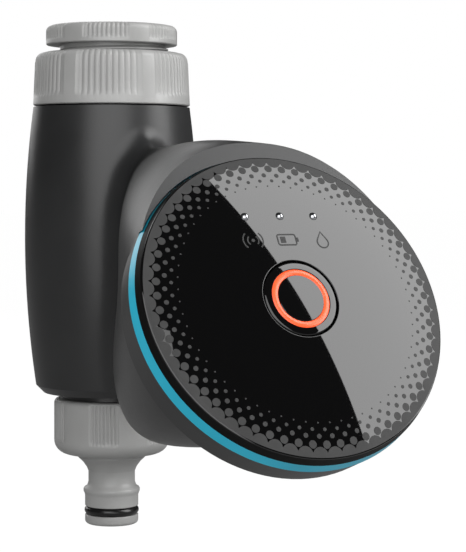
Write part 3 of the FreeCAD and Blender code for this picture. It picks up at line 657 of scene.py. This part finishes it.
def makeHalftone(h):
    bm = bmesh.new()
    step = 360 / h["count"]
    for ring, stagger, diameter, sides in h["rings"]:
        for i in range(h["count"]):
            angle = math.radians(h["phase"] + (i + stagger) * step)
            discOn(bm, ring * math.cos(angle), ring * math.sin(angle), diameter / 2, sides, h)
    asPiece("face_dots", onFace(bm), "timer_case", "valve_black", 20, finish=printGrey)


def makeScallops(h):
    # the matt band at the face's edge, with round lobes towards the middle
    bm = bmesh.new()
    step = 360 / h["count"]
    half = math.radians(step / 2)
    inner = []
    outer = []
    for i in range(h["count"]):
        middle = math.radians(h["phase"] + (i + 0.5) * step)
        for j in range(h["bandSteps"]):
            turn = half * (2 * j / h["bandSteps"] - 1)
            across = h["lobeRing"] * math.sin(turn)
            depth = h["lobeRing"] * math.cos(turn) - math.sqrt(h["lobeRadius"] ** 2 - across ** 2)
            inner.append((math.hypot(across, depth), middle + turn))
            outer.append((h["bandRadius"], middle + turn))
    rows = []
    for lift in (h["proud"], -h["bury"]):
        for ring in (inner, outer):
            rows.append([
                bm.verts.new((r * math.cos(a) * mm, r * math.sin(a) * mm, (crownAt(r) + lift) * mm))
                for r, a in ring
            ])
    loops = [[bm.edges.new((row[i - 1], row[i])) for i in range(len(row))] for row in rows]
    for first, second in ((0, 1), (1, 3), (3, 2), (2, 0)):
        bmesh.ops.bridge_loops(bm, edges=loops[first] + loops[second])
    bmesh.ops.recalc_face_normals(bm, faces=bm.faces)
    asPiece("face_scallops", onFace(bm), "timer_case", "valve_black", 40, finish=printGrey)


signs = {
    "level": 15.85, "width": 0.34, "proud": 0.05, "bury": 0.05,
    "signal": {"u": -9.05, "radii": (1.45, 2.65), "reach": 48, "dot": 0.5, "sides": 16, "steps": 10},
    "battery": {
        "u": 0.15, "half": (2.5, 1.45), "corner": 0.5, "nub": (2.95, 0.55), "nubWidth": 0.51,
        "fill": (-1.75, -0.35, 1.7),
    },
    "drop": {"u": 10.1, "radius": 1.55, "belly": -0.75, "tip": 2.2, "steps": 14},
}


def strokeOn(bm, u, points, width, closed=False):
    # a thin raised line about one place on the face
    count = len(points)
    level = crownAt(math.hypot(u, signs["level"]))
    rails = []
    for i, (x, y) in enumerate(points):
        before = points[i - 1] if closed or i else points[0]
        after = points[(i + 1) % count] if closed or i + 1 < count else points[i]
        along = Vector((after[0] - before[0], after[1] - before[1])).normalized()
        across = Vector((-along.y, along.x)) * width / 2
        rails.append([bm.verts.new((x + side * across.x, y + side * across.y, 0)) for side in (1, -1)])
    pairs = list(zip(rails, rails[1:] + rails[:1]))
    faces = [bm.faces.new((a[0], a[1], b[1], b[0])) for a, b in (pairs if closed else pairs[:-1])]
    grown = bmesh.ops.extrude_face_region(bm, geom=faces)["geom"]
    raised = [item for item in grown if isinstance(item, bmesh.types.BMVert)]
    bmesh.ops.translate(bm, vec=(0, 0, signs["proud"] + signs["bury"]), verts=raised)
    made = raised + [vert for rail in rails for vert in rail]
    place = Matrix.Translation(Vector((u, signs["level"], level - signs["bury"])) * mm)
    lean = leanAt(u, signs["level"]) @ Matrix.Scale(mm, 4)
    bmesh.ops.transform(bm, matrix=place @ lean, verts=made)


def drawSignal(bm, s, signal):
    for radius in signal["radii"]:
        for middle in (0, 180):
            start, end = middle - signal["reach"], middle + signal["reach"]
            strokeOn(bm, signal["u"], arcPoints((0, 0), radius, start, end, signal["steps"]), s["width"])
    discOn(bm, signal["u"], s["level"], signal["dot"], signal["sides"], s)


def drawBattery(bm, s, battery):
    halfX, halfY = battery["half"]
    corner = battery["corner"]
    outline = []
    for x, y, start in ((1, 1, 0), (-1, 1, 90), (-1, -1, 180), (1, -1, 270)):
        centre = (x * (halfX - corner), y * (halfY - corner))
        outline += arcPoints(centre, corner, start, start + 90, 3)
    strokeOn(bm, battery["u"], outline, s["width"], True)
    nubX, nubHalf = battery["nub"]
    strokeOn(bm, battery["u"], [(nubX, -nubHalf), (nubX, nubHalf)], battery["nubWidth"])
    fillLow, fillHigh, fillHeight = battery["fill"]
    strokeOn(bm, battery["u"], [(fillLow, 0), (fillHigh, 0)], fillHeight)


def drawDrop(bm, s, drop):
    lean = math.degrees(math.acos(drop["radius"] / (drop["tip"] - drop["belly"])))
    outline = arcPoints((0, drop["belly"]), drop["radius"], 90 + lean, 450 - lean, drop["steps"])
    strokeOn(bm, drop["u"], outline + [(0, drop["tip"])], s["width"], True)


def makeSigns(s):
    bm = bmesh.new()
    drawSignal(bm, s, s["signal"])
    drawBattery(bm, s, s["battery"])
    drawDrop(bm, s, s["drop"])
    bmesh.ops.recalc_face_normals(bm, faces=bm.faces)
    asPiece("face_signs", onFace(bm), "timer_case", "valve_black", 20, finish=printGrey)


makeFace(face)
makeHalftone(halftone)
makeScallops(halftone)
makeSigns(signs)
print("face done")


# Button, its orange ring with a painted glow, and the status lenses

button = {
    "radius": 9.8, "edge": 0.6, "fall": [(-0.35, 0.05), (-0.15, 0.2), (-0.03, 0.42), (0, 0.7)],
    "foot": 1.9, "inside": (2, 4), "outside": 8.6, "slotInner": 6.11, "slotOuter": 7.72,
    "slotEdge": 0.12, "slotDepth": 1.2, "slotLevels": (6, 8), "steps": 128,
}
buttonRing = {
    "gap": 0.02, "foot": 1.1, "sink": 0.12, "edge": 0.15, "edgeDrop": 0.1, "edgeRise": 0.02,
    "middle": 6.9, "middleRise": 0.06,
}


def makeButton(b):
    # the slot's depth is measured from the dome's height at two radii
    inner = b["slotInner"]
    outer = b["slotOuter"]
    bevel = b["slotEdge"]
    inTop, outTop = (crownAt(radius) for radius in b["slotLevels"])
    outline = [(r, crownAt(r)) for r in (0, *b["inside"], inner - bevel)]
    outline += [(inner, crownAt(inner) - bevel), (inner, inTop - b["slotDepth"])]
    outline += [(outer, outTop - b["slotDepth"]), (outer, crownAt(outer) - bevel)]
    outline += [(r, crownAt(r)) for r in (outer + bevel, b["outside"], b["radius"] - b["edge"])]
    outline += [(b["radius"] + inset, crownAt(b["radius"]) - under) for inset, under in b["fall"]]
    outline += [(b["radius"], crownAt(b["radius"]) - b["foot"]), (0, crownAt(0) - b["foot"])]
    bm = onFace(spunProfile(outline, b["steps"]))
    asPiece("button_dome", bm, "button", "face_black", 40, ["button_cap"])


def makeButtonRing(light, b):
    inner = b["slotInner"] + light["gap"]
    outer = b["slotOuter"] - light["gap"]
    edge = light["edge"]
    sink = light["sink"]
    inTop, outTop = (crownAt(radius) for radius in b["slotLevels"])
    middle = light["middle"]
    outline = [
        (inner, inTop - light["foot"]), (inner, inTop - sink - light["edgeDrop"]),
        (inner + edge, inTop - sink + light["edgeRise"]),
        (middle, crownAt(middle) - sink + light["middleRise"]),
        (outer - edge, outTop - sink + light["edgeRise"]), (outer, outTop - sink - light["edgeDrop"]),
        (outer, outTop - light["foot"]),
    ]
    bm = onFace(spunProfile(outline, b["steps"]))
    asPiece("button_ring_painted_glow", bm, "button", "ring_orange", 40, ["button_ring"])


makeButton(button)
makeButtonRing(buttonRing, button)
for index in (1, 2, 3):
    dressed(f"status_lens_{index}", f"lens_{index}", 50)
print("button and lenses done")


# Room, lights and camera

studio = {
    "floorZ": -174.0, "floorSize": 6.0, "floorColour": (0.25, 0.25, 0.25), "floorShade": 0.985,
    "mottleScale": 4, "floorGlow": 1.12, "showThrough": 0.88, "floorMirror": 0.08,
    "white": 1.0, "ambient": 0.3, "dimRoom": 0.03, "worldMirror": 0.02,
}
softboxes = [
    {
        "name": "keyRight", "at": (614.6, -462.7, 397.1), "aim": (0, -114, -74.5),
        "along": (0.4137, -0.5725, -0.7077), "size": (520, 900), "radiance": 5.2,
    },
    {
        "name": "fillFront", "at": (-345, -695, 165), "aim": (0, 0, -65), "along": (0, 0, 1),
        "size": (900, 900), "radiance": 2.6,
    },
    {
        "name": "fillBack", "at": (0, 950, 380), "aim": (0, 0, -65), "along": (0, 0, 1),
        "size": (800, 800), "radiance": 1.6,
    },
]
lens = {
    "at": (-221.628, -520.435, -44.367), "right": (0.89343, -0.44919, 0.00325),
    "up": (0.02013, 0.04728, 0.99868), "ahead": (0.44875, 0.89218, -0.05128),
    "focal": 124.70, "sensor": 36, "nearest": 0.01,
}


def seenBy(finish, mirrorShare):
    # camera and transmission rays see the white in full, and mirrored rays a share of it
    camera = finish.node("ShaderNodeLightPath", output="Is Camera Ray")
    through = finish.node("ShaderNodeLightPath", output="Is Transmission Ray")
    mirrored = finish.node("ShaderNodeLightPath", output="Is Glossy Ray")
    return finish.maths("MAXIMUM", finish.maths("MAXIMUM", camera, through), mirrored * mirrorShare)


def makeFloor(s):
    finish = Finish("paleFloor")
    shade = tuple(c * s["floorShade"] for c in s["floorColour"])
    colour = finish.ramp(finish.noise(s["mottleScale"], 2), [(0.3, shade), (0.7, s["floorColour"])])
    diffuse = finish.node("ShaderNodeBsdfDiffuse", {}, {"Color": colour})
    glow = finish.node("ShaderNodeEmission", {}, {"Color": (1, 1, 1), "Strength": s["floorGlow"]})
    seen = seenBy(finish, s["floorMirror"]) * s["showThrough"]
    mixed = finish.node("ShaderNodeMixShader", {}, {0: seen, 1: diffuse, 2: glow})
    bm = bmesh.new()
    bmesh.ops.create_grid(bm, x_segments=1, y_segments=1, size=s["floorSize"])
    bmesh.ops.translate(bm, vec=(0, 0, s["floorZ"] * mm), verts=bm.verts)
    mesh = bpy.data.meshes.new("floor")
    bm.to_mesh(mesh)
    bm.free()
    mesh.materials.append(finish.closed(mixed))
    floor = bpy.data.objects.new("floor", mesh)
    bpy.context.scene.collection.objects.link(floor)


def makeWorld(s):
    # diffuse rays meet a soft light from all sides, which the mirror-like face doesn't show
    sky = Finish("paleWorld", "worlds")
    soft = sky.node("ShaderNodeLightPath", output="Is Diffuse Ray") * s["ambient"] + s["dimRoom"]
    lit = sky.node("ShaderNodeBackground", {}, {"Color": (1, 1, 1), "Strength": soft})
    white = sky.node("ShaderNodeBackground", {}, {"Color": (1, 1, 1), "Strength": s["white"]})
    mixed = sky.node("ShaderNodeMixShader", {}, {0: seenBy(sky, s["worldMirror"]), 1: lit, 2: white})
    bpy.context.scene.world = sky.closed(mixed, "ShaderNodeOutputWorld")


def makeSoftbox(box):
    light = bpy.data.lights.new(box["name"], "AREA")
    light.shape = "RECTANGLE"
    light.size = box["size"][0] * mm
    light.size_y = box["size"][1] * mm
    light.energy = box["radiance"] * math.pi * light.size * light.size_y
    lamp = bpy.data.objects.new(box["name"], light)
    bpy.context.scene.collection.objects.link(lamp)
    place = Vector(box["at"]) * mm
    back = (place - Vector(box["aim"]) * mm).normalized()
    side = Vector(box["along"]).cross(back).normalized()
    axes = Matrix([side, back.cross(side), back]).transposed()
    lamp.matrix_world = Matrix.Translation(place) @ axes.to_4x4()


def makeCamera(c):
    camera = bpy.data.objects.new("camera", bpy.data.cameras.new("camera"))
    bpy.context.scene.collection.objects.link(camera)
    camera.data.lens = c["focal"]
    camera.data.sensor_width = c["sensor"]
    camera.data.clip_start = c["nearest"]
    axes = Matrix([c["right"], c["up"], [-value for value in c["ahead"]]]).transposed()
    camera.matrix_world = Matrix.Translation(Vector(c["at"]) * mm) @ axes.to_4x4()
    bpy.context.scene.camera = camera


makeFloor(studio)
makeWorld(studio)
for box in softboxes:
    makeSoftbox(box)
makeCamera(lens)
bpy.context.scene.view_settings.view_transform = "Standard"
print("room, lights and camera done")
